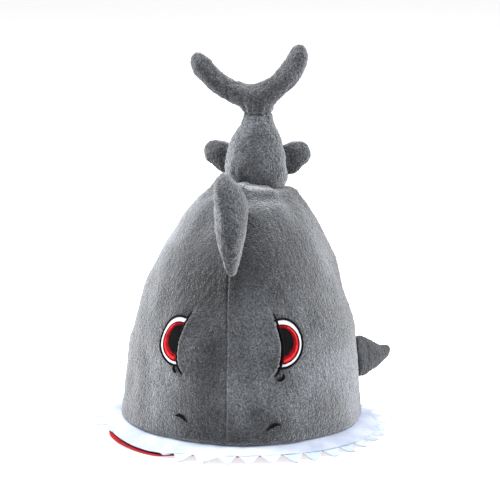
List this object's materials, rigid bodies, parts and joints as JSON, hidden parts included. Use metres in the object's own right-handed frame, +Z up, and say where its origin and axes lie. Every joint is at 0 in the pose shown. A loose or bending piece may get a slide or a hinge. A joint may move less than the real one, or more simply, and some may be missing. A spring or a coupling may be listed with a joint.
{
  "type": "plush shark hat",
  "caption": "Padded plush shark worn as a hat: open mouth underneath with a toothed brim, embroidered eyes and nostrils, stuffed fins and a bending tail",
  "frame": {"origin": "centre of the footprint, on the surface the open mouth stands on", "axes": "+Z up from the mouth to the tail; the face and the dorsal fin look along -Y; +X is the side of the lifted pectoral fin"},
  "size_m": [0.295, 0.295, 0.3899],
  "materials": {
    "black_thread": "black satin-stitch embroidery",
    "charcoal_thread": "charcoal satin-stitch embroidery",
    "dark_plush": "darker grey short-pile plush",
    "grey_plush": "grey short-pile plush",
    "red_satin": "red polyester lining cloth",
    "red_thread": "red satin-stitch embroidery",
    "wadding": "white polyester wadding",
    "white_felt": "white felt, cut edge",
    "white_plush": "smooth white short-nap cloth",
    "white_thread": "white satin-stitch embroidery"
  },
  "bodies": {
    "head": {"body_panel_left": "grey_plush", "body_panel_right": "grey_plush", "body_wadding": "wadding", "mouth_lining": "red_satin", "brim_facing": "red_satin", "teeth_strip": "white_felt", "teeth_strip_end": "white_felt", "lip_band": "white_plush", "eye_outline_left": "black_thread", "eye_white_left": "white_thread", "eye_iris_left": "red_thread", "eye_pupil_left": "charcoal_thread", "brow_crease_left": "black_thread", "nostril_left": "black_thread", "eye_outline_right": "black_thread", "eye_white_right": "white_thread", "eye_iris_right": "red_thread", "eye_pupil_right": "charcoal_thread", "brow_crease_right": "black_thread", "nostril_right": "black_thread"},
    "dorsal_fin": {"dorsal_fin_panel_left": "dark_plush", "dorsal_fin_panel_right": "dark_plush", "dorsal_fin_filling": "wadding"},
    "pectoral_left": {"pectoral_left_panel_top": "dark_plush", "pectoral_left_panel_under": "dark_plush", "pectoral_left_filling": "wadding"},
    "pectoral_right": {"pectoral_right_panel_top": "dark_plush", "pectoral_right_panel_under": "dark_plush", "pectoral_right_filling": "wadding"},
    "tail_stalk": {"tail_stalk_panel_front": "grey_plush", "tail_stalk_panel_back": "grey_plush", "tail_stalk_filling": "wadding"},
    "tail_fin": {"tail_fin_panel_front": "dark_plush", "tail_fin_panel_back": "dark_plush", "tail_fin_filling": "wadding"},
    "pelvic_left": {"pelvic_left_panel_front": "dark_plush", "pelvic_left_panel_back": "dark_plush", "pelvic_left_filling": "wadding"},
    "pelvic_right": {"pelvic_right_panel_front": "dark_plush", "pelvic_right_panel_back": "dark_plush", "pelvic_right_filling": "wadding"}
  },
  "joints": [
    {"name": "dorsal_fin_flop", "type": "hinge", "parent": "head", "child": "dorsal_fin", "pos_m": [0.00206, -0.07857, 0.20778], "axis": [0.0904, 0.541, 0.8362], "range_deg": [-28, 28], "stiffness_Nm_per_rad": 0.25},
    {"name": "pectoral_left_flap", "type": "hinge", "parent": "head", "child": "pectoral_left", "pos_m": [-0.11662, 0.02948, 0.06762], "axis": [0.148, -0.0285, 0.9886], "range_deg": [0, 75], "stiffness_Nm_per_rad": 0.12},
    {"name": "pectoral_right_flap", "type": "hinge", "parent": "head", "child": "pectoral_right", "pos_m": [0.11984, 0.02948, 0.06762], "axis": [-0.0808, -0.0287, 0.9963], "range_deg": [-46, 29], "stiffness_Nm_per_rad": 0.12},
    {"name": "tail_stalk_flop", "type": "hinge", "parent": "head", "child": "tail_stalk", "pos_m": [0.016, 0.002, 0.2665], "axis": [1, 0, 0], "range_deg": [-25, 25], "stiffness_Nm_per_rad": 0.6},
    {"name": "tail_fin_wag", "type": "hinge", "parent": "tail_stalk", "child": "tail_fin", "pos_m": [0.016, 0.002, 0.3205], "axis": [0, 1, 0], "range_deg": [-20, 20], "stiffness_Nm_per_rad": 0.25},
    {"name": "pelvic_left_flap", "type": "hinge", "parent": "tail_stalk", "child": "pelvic_left", "pos_m": [-0.012, 0.016, 0.2755], "axis": [0.1191, 0, 0.9929], "range_deg": [-25, 20], "stiffness_Nm_per_rad": 0.06},
    {"name": "pelvic_right_flap", "type": "hinge", "parent": "tail_stalk", "child": "pelvic_right", "pos_m": [0.044, 0.016, 0.2755], "axis": [-0.1191, 0, 0.9929], "range_deg": [-20, 25], "stiffness_Nm_per_rad": 0.06}
  ]
}
